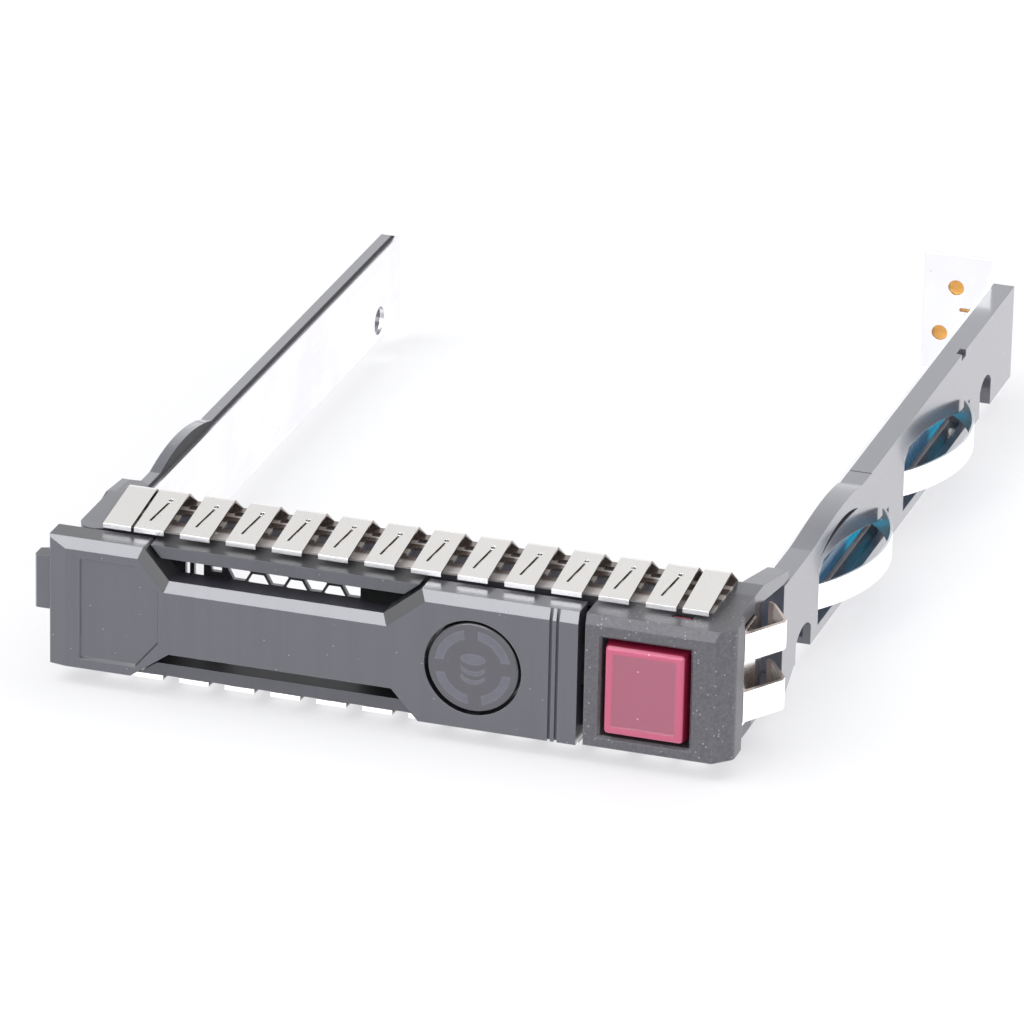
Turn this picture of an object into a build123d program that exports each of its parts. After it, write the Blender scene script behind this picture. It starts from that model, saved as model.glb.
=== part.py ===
from build123d import *
import os
from math import cos, hypot, pi, radians, sin, sqrt, tan

os.makedirs("parts", exist_ok=True)

# Sizes in millimetres. Layout distances are read from the front left lower corner of the
# front end: x to the right, y towards the rear, z up.

# Drive bay and front end
bay_width = 70.1
bay_left = 3.86
front_width = bay_left + bay_width + 3.84
front_height = 15.1
front_chamfer = 1.4
rim_thickness = 1.4
rim_front = 5.4
lip_front = 1.4
frame_back = 14.2
sheet_thickness = 0.25
fit = 0.3
face_gap = 0.2

# Side plates
plate_thickness = 0.5
plate_bottom = 0.5
plate_top = front_height - 3.8
right_length = 117.5
left_length = right_length - 8.5
drive_hole_radius = 1.7
drive_hole_height = 3.0
drive_hole_rear = right_length - 16.0
drive_hole_spacing = right_length - 40.9
screw_head = 2.9

# Rails
rail_right_width = 2.65
rail_left_width = 1.25
rail_bottom = 0.4
rail_top = front_height - 3.3
rail_wall = 0.9
rail_start = 22.0
left_rail_start = 24.4
left_rail_end = left_length + 1.0
beam_rise = 0.7
window_pitch = (right_length - 48.5) / 2
arch_front = 30.3
arch_rear = right_length - 11.7

# Lever
lever_thickness = 3.3
block_left = front_width - 16.2
lever_right = block_left - 0.8
lever_top = front_height - 1.3
bar_top = front_height - 4.8
bar_bottom = 3.15
pivot_x = 4.6
pivot_y = 5.4
pin_radius = 0.8
pin_running_fit = 0.05
lug_radius = 1.9
lever_left = 0.85
facet_start = 2.8
facet_depth = 0.35
bevel_depth = 0.45
disc_x = lever_right - 11.65
disc_z = (front_height - 1.2) / 2
section_x = disc_x - 6.05
disc_radius = 5.12
disc_ring = 0.33
disc_depth = 2.2
arc_inner = 3.3
arc_outer = 4.3
inlay_depth = 0.4
hook_reach = 1.05
hook_height = 6.2

# Front block, button and latch
block_depth = 11.0
window_left = block_left + 1.8
window_right = front_width - 4.5
window_bottom = 1.3
window_top = front_height - 2.5
button_gap = 0.36
button_front = 0.6
button_depth = 1.9
latch_y = 4.2
latch_z = 5.0
latch_height = window_top - 8.0
latch_guide = 0.2

# Spring fingers
finger_first = 9.52
finger_count = 12
finger_pitch = (front_width - 14.86) / finger_count
finger_width = finger_pitch - 1.855
strip_left = 5.97
strip_right = front_width - 3.6
finger_front = 3.2
finger_lip_top = 0.9
finger_lip_bottom = 1.45
finger_apex_y = 11.3
finger_rise = 2.17
slit_width = 0.3
dimple_radius = 0.28

# Vent
cell_pitch = 2.2
cell_wall = 0.3
vent_left = 16.8
vent_columns = 7
grille_y = 13.5
grille_thickness = 0.6

# Bowed leaf springs
leaf_bottom = 2.9
leaf_top = 5.9
leaf_thickness = 0.3
leaf_reach = front_width + 2.7
leaf_start = 36.3
leaf_length = window_pitch - 7.7

# The origin is the middle of the overall box, at the bottom.
bay_right = bay_left + bay_width
plate_right = bay_right + plate_thickness
plate_left = bay_left - plate_thickness
rail_outside = plate_right + rail_right_width
rail_left_outside = plate_left - rail_left_width
flex_thickness = 0.14
contact_back = right_length + flex_thickness + 0.4 + 0.1
middle_x = (leaf_reach + leaf_thickness - hook_reach) / 2
middle_y = contact_back / 2
rest_z = -finger_rise


def at(x, y, z):
    return (x - middle_x, y - middle_y, z - rest_z)


def front(y):
    return Plane(origin=at(0, y, 0), x_dir=(1, 0, 0), z_dir=(0, -1, 0))


def side(x):
    return Plane(origin=at(x, 0, 0), x_dir=(0, 1, 0), z_dir=(1, 0, 0))


def top(z):
    return Plane(origin=at(0, 0, z), x_dir=(1, 0, 0), z_dir=(0, 0, 1))


def area(u0, u1, v0, v1):
    with Locations(((u0 + u1) / 2, (v0 + v1) / 2)):
        return Rectangle(abs(u1 - u0), abs(v1 - v0))


def outline(*points):
    with BuildLine() as loop:
        Polyline(*points, close=True)
    return make_face(loop.edges())


def slab(x0, x1, y0, y1, z0, z1, mode=Mode.ADD):
    with BuildSketch(top(z0)) as base:
        area(x0, x1, y0, y1)
    return extrude(base.sketch, amount=z1 - z0, mode=mode)


# Front frame: two rims, hinge shoulder with ears for the pin, right wall and sloping wing
shoulder_left = 2.4
shoulder_right = 10.6
shoulder_front = 8.4
cheek_end = 24.3
pocket_z0 = front_height - 3.9
pocket_z1 = front_height - 1.4
post_x = 3.0
post_y = 12.4
post_radius = 0.8
rim_left = pivot_x - lug_radius
wing_inner = plate_right + flex_thickness
wing_outer = front_width - 0.8
with BuildPart() as front_frame:
    for z0 in (0, front_height - rim_thickness):
        slab(pivot_x, block_left - 0.1, rim_front, frame_back, z0, z0 + rim_thickness)
        slab(rim_left, shoulder_right, pivot_y, frame_back, z0, z0 + rim_thickness)
        with BuildSketch(top(z0)):
            with Locations((pivot_x, pivot_y)):
                Circle(lug_radius)
        extrude(amount=rim_thickness)
    slab(shoulder_left, shoulder_right, shoulder_front, frame_back, 0, pocket_z0)
    with BuildSketch(side(shoulder_left)):
        outline((shoulder_front, pocket_z1), (frame_back, pocket_z1), (frame_back, 0.4), (22.5, 0.4),
                (cheek_end, 2.0), (cheek_end, front_height - 3.2), (22.1, front_height - 1.9),
                (18.6, front_height - 0.4), (13.6, front_height), (11.5, front_height - 0.5),
                (shoulder_front, front_height - 0.8))
    extrude(amount=plate_left - shoulder_left)
    slab(plate_left - 0.2, shoulder_right, shoulder_front, frame_back, pocket_z1, front_height)
    slab(7.8, shoulder_right, 11.4, frame_back, pocket_z0, pocket_z1)
    with BuildSketch(top(pocket_z0 - 0.3)):
        with Locations((post_x, post_y)):
            Circle(post_radius)
    extrude(amount=pocket_z1 - pocket_z0 + 0.6)
    slab(block_left - 0.1, wing_outer, block_depth, frame_back, 0, front_height)
    with BuildSketch(side(wing_inner)):
        outline((frame_back, front_height - 1.9), (22.0, front_height - 3.1), (rail_start, rail_top), (24.0, rail_top),
                (24.0, front_height - 2.2), (19.6, front_height - 1.2), (frame_back, front_height))
        outline((frame_back, 0), (20.0, 0), (rail_start - fit, 0.9), (rail_start - fit, 1.5), (frame_back, 1.5))
    extrude(amount=wing_outer - wing_inner)
    slab(block_left - 0.1, wing_inner - 8.0, grille_y, frame_back, front_height - rim_thickness,
         front_height - rim_thickness + 0.2)
    for z0, ends in ((0, (10.9, section_x - 0.7, section_x - 2.0, 12.9)),
                     (front_height - rim_thickness, (13.3, section_x - 2.2, section_x - 0.5, 12.1))):
        with BuildSketch(front(lip_front)):
            outline((ends[0], z0), (ends[1], z0), (ends[2], z0 + rim_thickness), (ends[3], z0 + rim_thickness))
        extrude(amount=-(rim_front - lip_front))
    with BuildSketch(top(-0.1)):
        with Locations((pivot_x, pivot_y)):
            Circle(pin_radius)
    extrude(amount=front_height - 0.4, mode=Mode.SUBTRACT)
    with BuildSketch(side(shoulder_left)):
        with Locations((drive_hole_rear - drive_hole_spacing, drive_hole_height)):
            Circle(screw_head)
    extrude(amount=plate_left - shoulder_left, mode=Mode.SUBTRACT)
    with BuildSketch(front(block_depth)):
        area(block_left + 2.2, window_right - 0.3, 2.2, window_top)
    extrude(amount=-(frame_back - block_depth - 1.2), mode=Mode.SUBTRACT)
front_frame.part.label = "front_frame"
export_step(front_frame.part, "parts/front_frame.step")

# Front block with the button window, the latch slot and a notch in the top
block_corner = 1.9
side_return = 5.0
with BuildPart() as button_bezel:
    with BuildSketch(top(0)):
        outline((block_left, 0), (front_width - block_corner, 0), (front_width, block_corner),
                (front_width, side_return), (wing_outer, side_return + 0.6), (wing_outer, block_depth),
                (block_left, block_depth))
    extrude(amount=front_height)
    corner = button_bezel.edges().filter_by(Axis.Z).sort_by(Axis.Y)[1:4].sort_by(Axis.X)[-2:]
    fillet(corner, radius=1.1)
    with BuildSketch(side(block_left)):
        outline((-0.1, front_height - front_chamfer), (0.45, front_height + 0.1), (-0.1, front_height + 0.1))
    extrude(amount=front_width, mode=Mode.SUBTRACT)
    with BuildSketch(front(0)):
        area(window_left, window_right, window_bottom, window_top)
    extrude(amount=-block_depth, mode=Mode.SUBTRACT)
    slab(block_left, window_left, latch_y - latch_guide, 9.4, latch_z - latch_guide,
         latch_z + latch_height + latch_guide, mode=Mode.SUBTRACT)
    slab(window_right - 3.1, window_right - 0.7, 2.6, 4.8, window_top, front_height, mode=Mode.SUBTRACT)
    slab(wing_outer - 1.6, front_width, side_return + 1.4, block_depth, 1.5, front_height - 1.9,
         mode=Mode.SUBTRACT)
    window_edges = button_bezel.edges().filter_by(GeomType.LINE).filter_by(
        lambda e: abs(e.center().Y - at(0, 0, 0)[1]) < 0.01 and at(window_left, 0, 0)[0] - 0.1
        < e.center().X < at(window_right, 0, 0)[0] + 0.1 and at(0, 0, 1.0)[2] < e.center().Z < at(0, 0, window_top + 0.3)[2])
    chamfer(window_edges, length=0.3)
button_bezel.part.label = "button_bezel"
export_step(button_bezel.part, "parts/button_bezel.step")

# Release button: shell front, two guide legs and a wedge that drives the latch
button_x0 = window_left + button_gap
button_x1 = window_right - 1.35
button_z0 = window_bottom + button_gap
button_z1 = window_top - 1.35
button_back = button_front + button_depth
wedge_x = window_left + 1.2
wedge_y = 6.0
travel = 1.5
with BuildPart() as release_button:
    with BuildSketch(front(button_front)):
        area(button_x0, button_x1, button_z0, button_z1)
    extrude(amount=-button_depth)
    fillet(release_button.edges().filter_by(Axis.Y), radius=0.7)
    fillet(release_button.faces().sort_by(Axis.Y)[0].edges(), radius=0.35)
    with BuildSketch(front(button_front)):
        with Locations(((button_x0 + button_x1) / 2, (button_z0 + button_z1) / 2)):
            RectangleRounded(button_x1 - button_x0 - 1.3, button_z1 - button_z0 - 1.3, 0.4)
    extrude(amount=-0.12, mode=Mode.SUBTRACT)
    for z0, z1 in ((button_z0, latch_z - 0.9), (latch_z + latch_height + 0.9, button_z1)):
        slab(button_x0 + 1.0, button_x1 - 0.1, button_back, 9.0, z0, z1)
    slab(window_right - 2.9, button_x1 - 0.1, 2.75, 3.25, button_z1 - 0.5, front_height - 0.4)
    with BuildSketch(top(latch_z - 0.6)):
        outline((wedge_x, button_back), (wedge_x, wedge_y), (wedge_x + wedge_y - button_back, button_back))
    extrude(amount=latch_height + 1.2)
release_button.part.label = "release_button"
export_step(release_button.part, "parts/release_button.step")

# Latch slider: nose through the block's wall, sloped window for the wedge
nose_x = lever_right - 0.18
with BuildPart() as latch_slider:
    slab(nose_x, wedge_x + 3.0, latch_y, 9.2, latch_z, latch_z + latch_height)
    with BuildSketch(top(latch_z)):
        outline((wedge_x - 1.8, latch_y - 0.1), (wedge_x - 1.8, 8.05), (wedge_x + 2.15, latch_y - 0.1))
    extrude(amount=latch_height, mode=Mode.SUBTRACT)
    slab(nose_x, block_left, 5.7, 9.2, latch_z, latch_z + latch_height, mode=Mode.SUBTRACT)
    with BuildSketch(top(latch_z)):
        outline((nose_x, latch_y), (nose_x + 0.5, latch_y), (nose_x, latch_y + 0.5))
    extrude(amount=latch_height, mode=Mode.SUBTRACT)
latch_slider.part.label = "latch_slider"
export_step(latch_slider.part, "parts/latch_slider.step")


# Small coil springs share one builder of wire sweeps
def coil(start, pitch, turns, radius, wire, direction):
    with BuildPart() as made:
        with BuildLine():
            path = Helix(pitch=pitch, height=pitch * turns, radius=radius, center=start, direction=direction)
        with BuildSketch(Plane(origin=path @ 0, z_dir=path % 0)):
            Circle(wire)
        sweep(is_frenet=True)
    return made.part


spring_x = window_right - 2.4
spring_wire = 0.2
spring_turns = 7
spring_length = block_depth + (frame_back - block_depth - 1.2) - button_back - 2 * spring_wire - 0.24
with BuildPart() as button_spring:
    add(coil(at(spring_x, button_back + spring_wire + 0.12, latch_z + latch_height / 2),
             spring_length / spring_turns, spring_turns, 1.0, spring_wire, (0, 1, 0)))
button_spring.part.label = "button_spring"
export_step(button_spring.part, "parts/button_spring.step")

coil_wire = 0.22
coil_radius = 1.3
coil_pitch = 0.5
with BuildPart() as lever_spring:
    add(coil(at(post_x, post_y, pocket_z0 + coil_wire + 0.02), coil_pitch, 4, coil_radius, coil_wire, (0, 0, 1)))
    leg_start = at(post_x + coil_radius, post_y, pocket_z0 + coil_wire + 0.02 + 4 * coil_pitch)
    leg_end = at(8.3, lever_thickness + coil_wire + 0.15, pocket_z0 + coil_wire + 4 * coil_pitch - 0.2)
    with BuildLine():
        leg = Line(leg_start, leg_end)
    with BuildSketch(Plane(origin=leg @ 0, z_dir=leg % 0)):
        Circle(coil_wire)
    sweep(path=leg)
lever_spring.part.label = "lever_spring"
export_step(lever_spring.part, "parts/lever_spring.step")

with BuildPart() as hinge_pin:
    with BuildSketch(top(0.3)):
        with Locations((pivot_x, pivot_y)):
            Circle(pin_radius)
    extrude(amount=front_height - 0.9)
    chamfer(hinge_pin.edges().filter_by(GeomType.CIRCLE), length=0.15)
hinge_pin.part.label = "hinge_pin"
export_step(hinge_pin.part, "parts/hinge_pin.step")

# Ejector lever
lever_lower = ((lever_left, 0.0), (10.3, 0.0), (14.7, bar_bottom), (section_x - 3.1, bar_bottom), (section_x, -0.2),
               (lever_right, -0.2))
lever_upper = ((lever_right, lever_top), (section_x + 0.6, lever_top), (section_x - 3.7, bar_top), (14.1, bar_top),
               (11.1, lever_top), (lever_left, lever_top))
bevel_rise = front_height - lever_top
bevel_shift = 0.5
with BuildPart() as lever:
    with BuildSketch(front(0)) as lever_face:
        outline(*lever_lower, *lever_upper)
    with BuildSketch(front(bevel_depth)) as lever_body:
        pushes = (0, -bevel_shift, -bevel_shift, bevel_shift, bevel_shift, 0)
        raised = [(x + push, z + bevel_rise) for (x, z), push in zip(lever_upper, pushes)]
        outline(*lever_lower, *raised)
    loft(ruled=True)
    extrude(lever_body.sketch, amount=-(lever_thickness - bevel_depth))
    facet_width = facet_start - lever_left
    facet_x = lever_left - 0.15 * facet_width
    facet_y = facet_depth * 1.15
    with BuildSketch(top(-0.5)):
        outline((facet_start + 0.15 * facet_width, -0.15 * facet_depth), (facet_x, facet_y), (facet_x, -0.5),
                (facet_start + 0.15 * facet_width, -0.5))
    extrude(amount=front_height + 1, mode=Mode.SUBTRACT)
    facet_length = hypot(facet_width, facet_depth)
    facet_in = (facet_depth / facet_length, facet_width / facet_length, 0)
    facet_along = (facet_width / facet_length, -facet_depth / facet_length, 0)
    with BuildSketch(Plane(origin=at(facet_x, facet_y, 0), x_dir=facet_in, z_dir=facet_along)):
        outline((-0.1, -lever_top), (0, -lever_top), (bevel_depth, -front_height - 0.01), (-0.1, -front_height - 0.01))
    extrude(amount=facet_length * 1.3, mode=Mode.SUBTRACT)
    fillet(lever.faces().sort_by(Axis.X)[0].edges().filter_by(Axis.Z).sort_by(Axis.Y)[:1], radius=0.25)
    for x in (lever_right - 3.2, lever_right - 2.45):
        slab(x, x + 0.35, 0, 0.5, -0.2, front_height, mode=Mode.SUBTRACT)
    with BuildSketch(front(0)):
        outline((4.4, 1.1), (10.9, 1.1), (13.5, 4.2), (13.5, bar_top - 0.1), (10.8, lever_top - 0.9),
                (4.4, lever_top - 0.9))
    extrude(amount=-0.3, taper=35, mode=Mode.SUBTRACT)
    with BuildSketch(front(0)):
        with Locations((disc_x, disc_z)):
            Circle(disc_radius + disc_ring)
    extrude(amount=-(disc_depth + 0.2), mode=Mode.SUBTRACT)
    with BuildSketch(top(rim_thickness + face_gap)):
        with Locations((pivot_x, pivot_y)):
            Circle(lug_radius)
        area(pivot_x - lug_radius, pivot_x + lug_radius, lever_thickness - 0.3, pivot_y)
    extrude(amount=pocket_z0 - 0.6 - rim_thickness - face_gap)
    with BuildSketch(top(rim_thickness)):
        with Locations((pivot_x, pivot_y)):
            Circle(pin_radius + pin_running_fit)
    extrude(amount=front_height, mode=Mode.SUBTRACT)
    with BuildSketch(top(lever_top - 1.6 - hook_height)):
        outline((1.5, 1.0), (-hook_reach + 0.2, 1.0), (-hook_reach, 1.2), (-hook_reach, 2.9), (0.0, lever_thickness),
                (1.5, lever_thickness))
    extrude(amount=hook_height)
    with BuildSketch(top(latch_z + 0.2)):
        outline(*[(lever_right - back, y) for back, y in (
            (4.2, lever_thickness - 0.2), (3.2, lever_thickness - 0.2), (3.2, 5.85), (0.45, 5.85), (0.45, 6.4),
            (1.2, 7.1), (4.2, 7.1))])
    extrude(amount=latch_height - 0.4)
lever.part.label = "lever"
export_step(lever.part, "parts/lever.step")


# Status disc with four arc inlays and a drive symbol
disc_face = 0.1
with BuildPart() as status_disc:
    with BuildSketch(front(disc_face)):
        with Locations((disc_x, disc_z)):
            Circle(disc_radius)
    extrude(amount=-disc_depth)
    fillet(status_disc.faces().sort_by(Axis.Y)[0].edges(), radius=0.25)
    with BuildSketch(front(disc_face)) as arc_sketch:
        with Locations((disc_x, disc_z)):
            Circle(arc_outer)
            Circle(arc_inner, mode=Mode.SUBTRACT)
            for turn in (4, 94):
                Rectangle(2 * arc_outer + 1, 1.5, rotation=turn, mode=Mode.SUBTRACT)
    extrude(amount=-inlay_depth, mode=Mode.SUBTRACT)
    with BuildSketch(front(disc_face)) as symbol_sketch:
        with Locations((disc_x, disc_z + 0.95)):
            Ellipse(1.4, 0.62)
        for drop in (0.05, -0.95):
            with BuildLine():
                ThreePointArc((disc_x - 1.35, disc_z + drop + 0.1), (disc_x, disc_z + drop - 0.5),
                              (disc_x + 1.35, disc_z + drop + 0.1))
                Line((disc_x + 1.35, disc_z + drop + 0.1), (disc_x + 1.35, disc_z + drop - 0.4))
                ThreePointArc((disc_x + 1.35, disc_z + drop - 0.4), (disc_x, disc_z + drop - 1.0),
                              (disc_x - 1.35, disc_z + drop - 0.4))
                Line((disc_x - 1.35, disc_z + drop - 0.4), (disc_x - 1.35, disc_z + drop + 0.1))
            make_face()
    extrude(amount=-inlay_depth, mode=Mode.SUBTRACT)
status_disc.part.label = "status_disc"
export_step(status_disc.part, "parts/status_disc.step")

with BuildPart() as status_arcs:
    with BuildSketch(front(disc_face)):
        add(arc_sketch.sketch_local)
    extrude(amount=-inlay_depth)
status_arcs.part.label = "status_arcs"
export_step(status_arcs.part, "parts/status_arcs.step")

with BuildPart() as status_symbol:
    with BuildSketch(front(disc_face)):
        add(symbol_sketch.sketch_local)
    extrude(amount=-inlay_depth)
status_symbol.part.label = "status_symbol"
export_step(status_symbol.part, "parts/status_symbol.step")

# Vent plate behind the lever: staggered honeycomb beside slots
cell_radius = (2 * cell_pitch / sqrt(3) - cell_wall) / sqrt(3)
row_pitch = 2 * cell_pitch / sqrt(3)
vent_bottom = rim_thickness + 0.5
vent_rows = int((front_height - 2 * rim_thickness - 1.0) / row_pitch)
with BuildPart() as vent_grille:
    slab(shoulder_right, block_left - 0.1, grille_y, grille_y + grille_thickness, rim_thickness,
         front_height - rim_thickness)
    with BuildSketch(front(grille_y)):
        for column in range(vent_columns):
            stagger = (column % 2) * row_pitch / 2
            for row in range(vent_rows):
                with Locations((vent_left + 1.1 + column * cell_pitch, vent_bottom + 1.1 + stagger + row * row_pitch)):
                    RegularPolygon(cell_radius, 6)
        area(11.7, 12.2, 3.0, front_height - 3.1)
        area(12.7, 13.8, 3.0, front_height - 3.1)
        for z in (4.0, front_height / 2, front_height - 3.9):
            area(14.7, 15.9, z, z + 0.6)
    extrude(amount=-grille_thickness, mode=Mode.SUBTRACT)
vent_grille.part.label = "vent_grille"
export_step(vent_grille.part, "parts/vent_grille.step")

# Light board with four lamps and a light guide behind the disc
board_left = vent_left + 15.4
board_right = lever_right - 1.0
board_y = 12.5
with BuildPart() as led_board:
    slab(board_left, board_right, board_y, grille_y, 2.4, front_height - 2.3)
    with BuildSketch(front(board_y)):
        with Locations((board_left + 1.5, front_height - 3.5), (board_right - 1.5, 3.6)):
            Circle(0.6)
    extrude(amount=-1.0, mode=Mode.SUBTRACT)
led_board.part.label = "led_board"
export_step(led_board.part, "parts/led_board.step")

with BuildPart() as status_lamps:
    with BuildSketch(front(board_y)):
        with Locations(*[(board_left + across, front_height - 3.3) for across in (3.5, 6.1, 8.7)]):
            Rectangle(1.5, 0.8)
        with Locations((disc_x, disc_z)):
            Rectangle(2.4, 2.4)
    extrude(amount=0.7)
status_lamps.part.label = "status_lamps"
export_step(status_lamps.part, "parts/status_lamps.step")

guide_front = 4.6
with BuildPart() as light_guide:
    with BuildSketch(front(guide_front)):
        with Locations((disc_x, disc_z)):
            Circle(4.6)
    extrude(amount=-2.0)
    with BuildSketch(front(guide_front + 2.0)):
        with Locations((disc_x, disc_z)):
            Circle(3.0)
    extrude(amount=-(board_y - 0.7 - 0.1 - guide_front - 2.0))
    with BuildSketch(front(guide_front + 3.0)):
        area(disc_x - 1.5, disc_x + 1.5, rim_thickness, front_height - rim_thickness)
    extrude(amount=-2.0)
light_guide.part.label = "light_guide"
export_step(light_guide.part, "parts/light_guide.step")


# Spring finger strips: one tent profile, drawn above z and mirrored below
def strip_profile(direction, base, lip):
    def s(y, rise):
        return (y, base + direction * rise)

    t = sheet_thickness
    return ((s(4.9, 0), s(14.0, 0), s(14.0, t), s(4.9, t)),
            (s(13.7, t), s(14.0, t), s(finger_apex_y + 0.15, finger_rise), s(finger_apex_y - 0.2, finger_rise),
             s(finger_front, lip), s(finger_front, lip - 0.55), s(finger_front + t, lip - 0.55), s(finger_front + t, lip - 0.2),
             s(finger_apex_y, finger_rise - t), s(13.7, t + 0.1)))


def finger_strip(direction, base, x_end, lip):
    with BuildPart() as strip:
        base_profile, finger_profile = strip_profile(direction, base, lip)
        with BuildSketch(side(strip_left)):
            outline(*base_profile)
        extrude(amount=x_end - strip_left)
        for k in range(finger_count):
            with BuildSketch(side(finger_first + k * finger_pitch)):
                outline(*finger_profile)
            extrude(amount=finger_width)
        with BuildSketch(side(strip_left)):
            outline(*finger_profile)
        extrude(amount=finger_width - 0.19)
        last = finger_first + finger_count * finger_pitch - 1.17
        with BuildSketch(side(last)):
            outline(*finger_profile)
        extrude(amount=x_end - last)
        slit_base = base + direction * (sheet_thickness + 0.02)
        middles = [finger_first + k * finger_pitch + finger_width / 2 for k in range(finger_count)]
        with BuildSketch(top(slit_base)):
            with Locations(*[(middle - 0.13, 7.0) for middle in middles]):
                Rectangle(slit_width, 4.13, rotation=-10)
            with Locations(*[(middle + 0.25, 9.43) for middle in middles]):
                RegularPolygon(dimple_radius, 8)
        extrude(amount=direction * 3, mode=Mode.SUBTRACT)
        gap = finger_pitch - finger_width
        with BuildSketch(top(base)):
            with Locations(*[(middle + finger_pitch / 2, 8.9) for middle in middles[:-1]]):
                Rectangle(gap + 0.6, 2.55)
            with Locations(*[(middle + finger_pitch / 2, 12.05) for middle in middles[:-1]]):
                Rectangle(gap + 0.6, 1.1)
        extrude(amount=direction * (sheet_thickness + 0.01), mode=Mode.SUBTRACT)
    return strip.part


with BuildPart() as shield_top:
    add(finger_strip(1, front_height, strip_right, finger_lip_top))
shield_top.part.label = "shield_top"
export_step(shield_top.part, "parts/shield_top.step")

with BuildPart() as shield_bottom:
    add(finger_strip(-1, 0.0, strip_right, finger_lip_bottom))
shield_bottom.part.label = "shield_bottom"
export_step(shield_bottom.part, "parts/shield_bottom.step")

shield_side_x = wing_outer + 0.3
with BuildPart() as shield_right:
    with BuildSketch(top(1.9)):
        outline((wing_outer, 6.5), (shield_side_x, 6.5), (shield_side_x, 10.8), (wing_outer, 10.8))
    extrude(amount=front_height - 4.1)
    for z0, z1 in ((front_height - 5.8, front_height - 2.6), (2.3, 5.8)):
        with BuildSketch(top(z0)):
            outline(*[(wing_outer + x, y) for x, y in (
                (0, 6.5), (0.35, 6.5), (3.35, 11.2), (3.3, 12.1), (1.0, 15.6), (0.3, 16.2), (0.1, 16.0), (0.8, 15.4),
                (2.95, 11.9), (2.98, 11.5), (0, 6.9))])
        extrude(amount=z1 - z0)
shield_right.part.label = "shield_right"
export_step(shield_right.part, "parts/shield_right.step")

# Side plates
rivet_radius = 0.75
rivets_right = (leaf_start + window_pitch - 2.6, right_length - 17.5, right_length - 4.0)
rivets_left = (50.0, left_length - 19.0)
rivet_height = plate_top - 0.95
drive_holes = (drive_hole_rear - drive_hole_spacing, drive_hole_rear)
flange_left = bay_right - 7.66
flange_top = front_height - 0.2
with BuildPart() as right_plate:
    slab(bay_right, plate_right, frame_back + 0.4, right_length, plate_bottom, plate_top)
    slab(flange_left, plate_right, right_length - plate_thickness, right_length, plate_bottom, flange_top)
    fillet(right_plate.edges().filter_by(Axis.Z).filter_by(
        lambda e: e.center().X > at(plate_right - 0.1, 0, 0)[0] and e.center().Y > at(0, right_length - 0.1, 0)[1]
        and e.center().Z < at(0, 0, plate_top)[2]), radius=0.45)
    with BuildSketch(side(bay_right)):
        with Locations(*[(y, drive_hole_height) for y in drive_holes]):
            Circle(drive_hole_radius)
        with Locations(*[(y, rivet_height) for y in rivets_right]):
            Circle(rivet_radius)
    extrude(amount=plate_thickness, mode=Mode.SUBTRACT)
    with BuildSketch(front(right_length - plate_thickness)):
        with Locations((flange_left + 3.9, flange_top - 4.1), (flange_left + 2.1, 4.9)):
            Circle(0.95)
        with Locations((flange_left + 5.3, 8.1)):
            SlotOverall(1.8, 0.5)
    extrude(amount=-plate_thickness, mode=Mode.SUBTRACT)
right_plate.part.label = "right_plate"
export_step(right_plate.part, "parts/right_plate.step")

with BuildPart() as left_plate:
    slab(plate_left, bay_left, frame_back, left_length, plate_bottom, plate_top)
    fillet(left_plate.edges().filter_by(Axis.X).sort_by(Axis.Y)[-2:], radius=0.8)
    with BuildSketch(side(plate_left)):
        with Locations(*[(y, drive_hole_height) for y in drive_holes]):
            Circle(drive_hole_radius)
        with Locations(*[(y, rivet_height) for y in rivets_left]):
            Circle(rivet_radius)
    extrude(amount=plate_thickness, mode=Mode.SUBTRACT)
left_plate.part.label = "left_plate"
export_step(left_plate.part, "parts/left_plate.step")

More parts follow.
